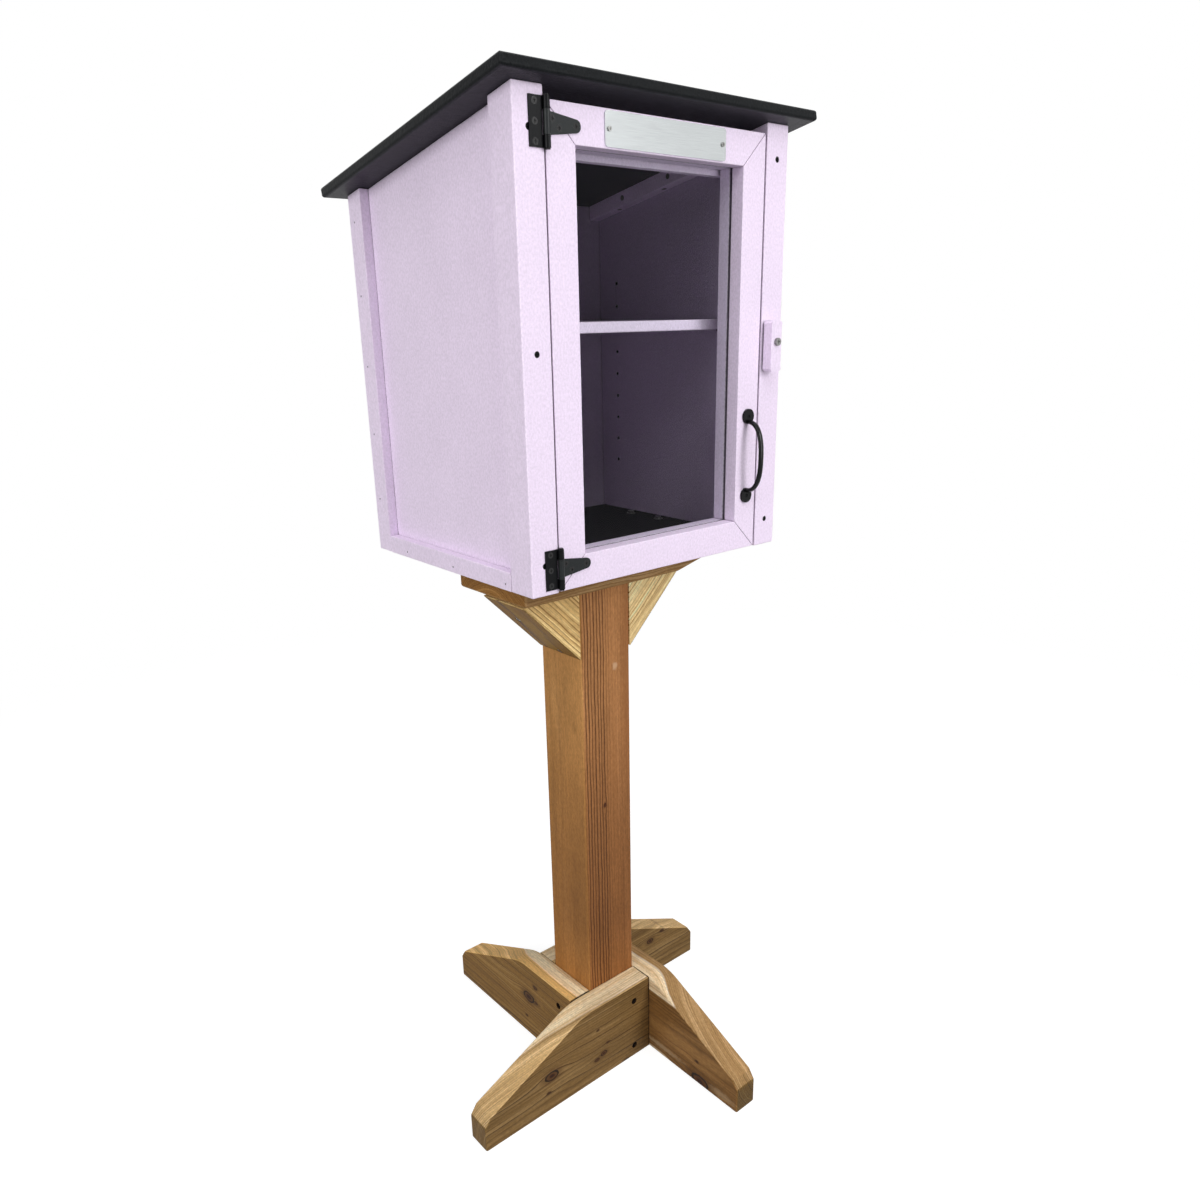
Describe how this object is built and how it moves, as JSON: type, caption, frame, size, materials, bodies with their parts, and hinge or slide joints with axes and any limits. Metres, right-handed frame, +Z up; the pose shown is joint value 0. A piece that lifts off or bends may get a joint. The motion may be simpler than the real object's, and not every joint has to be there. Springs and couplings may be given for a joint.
{
  "type": "free library book stand",
  "caption": "Free library book stand: cabinet with a sloping roof, glazed door, shelf and turn button, on a braced square post with pinwheel legs.",
  "frame": {"origin": "on the ground, on the axis of the post", "axes": "+Z up, the door faces -Y, +X to the right of someone who faces the door"},
  "size_m": [0.539, 0.539, 1.346],
  "materials": {
    "post_wood": "weathered sawn timber",
    "leg_wood": "weathered planed timber",
    "plate_wood": "rough sawn timber",
    "brace_wood": "planed timber",
    "cabinet_board": "fine orange-peel texture",
    "roof_board": "matte, finely brushed",
    "floor_board": "matte",
    "pane_clear": "polished clear sheet",
    "black_steel": "satin black",
    "handle_black": "gloss black",
    "zinc_steel": "zinc plated",
    "sign_metal": "brushed",
    "pin_plastic": "satin"
  },
  "bodies": {
    "stand": {"post": "post_wood", "leg_front": "leg_wood", "leg_right": "leg_wood", "leg_back": "leg_wood", "leg_left": "leg_wood", "leg_screws": "black_steel", "mounting_plate": "plate_wood", "brace_left": "brace_wood", "brace_right": "brace_wood", "plate_screws": "zinc_steel", "brace_screws": "zinc_steel", "cabinet_screws": "zinc_steel", "cabinet_washers": "zinc_steel", "floor_panel": "floor_board", "side_panel_left": "cabinet_board", "side_panel_right": "cabinet_board", "back_panel": "cabinet_board", "corner_post_left": "cabinet_board", "corner_post_right": "cabinet_board", "corner_post_screws": "black_steel", "back_stile_left": "cabinet_board", "back_stile_right": "cabinet_board", "side_rail_left": "cabinet_board", "side_rail_right": "cabinet_board", "back_rail": "cabinet_board", "trim_nails": "black_steel", "panel_screws": "zinc_steel", "front_header": "cabinet_board", "front_sill": "cabinet_board", "stop_screws": "zinc_steel", "roof": "roof_board", "roof_cleat_left": "cabinet_board", "roof_cleat_right": "cabinet_board", "roof_screws": "zinc_steel", "shelf": "cabinet_board", "shelf_pins": "pin_plastic", "hinge_leaf_top": "black_steel", "hinge_leaf_bottom": "black_steel", "hinge_pin_top": "black_steel", "hinge_pin_bottom": "black_steel", "leaf_screws": "black_steel", "turn_button_screw": "zinc_steel", "turn_button_washer": "zinc_steel"},
    "door": {"door_stile_left": "cabinet_board", "door_stile_right": "cabinet_board", "door_rail_top": "cabinet_board", "door_rail_bottom": "cabinet_board", "door_corner_screws": "zinc_steel", "window_pane": "pane_clear", "pull_handle": "handle_black", "handle_screws": "black_steel", "sign_plate": "sign_metal", "sign_screws": "zinc_steel", "hinge_strap_top": "black_steel", "hinge_strap_bottom": "black_steel", "strap_screws": "black_steel"},
    "turn_button": {"turn_button": "cabinet_board"}
  },
  "joints": [
    {"name": "door_hinge", "type": "hinge", "parent": "stand", "child": "door", "pos_m": [-0.1671, -0.1659, 1.067], "axis": [0, 0, -1], "range_deg": [0, 175]},
    {"name": "turn_button_pivot", "type": "hinge", "parent": "stand", "child": "turn_button", "pos_m": [0.18, -0.171, 1.0804], "axis": [0, 1, 0], "continuous": true}
  ]
}
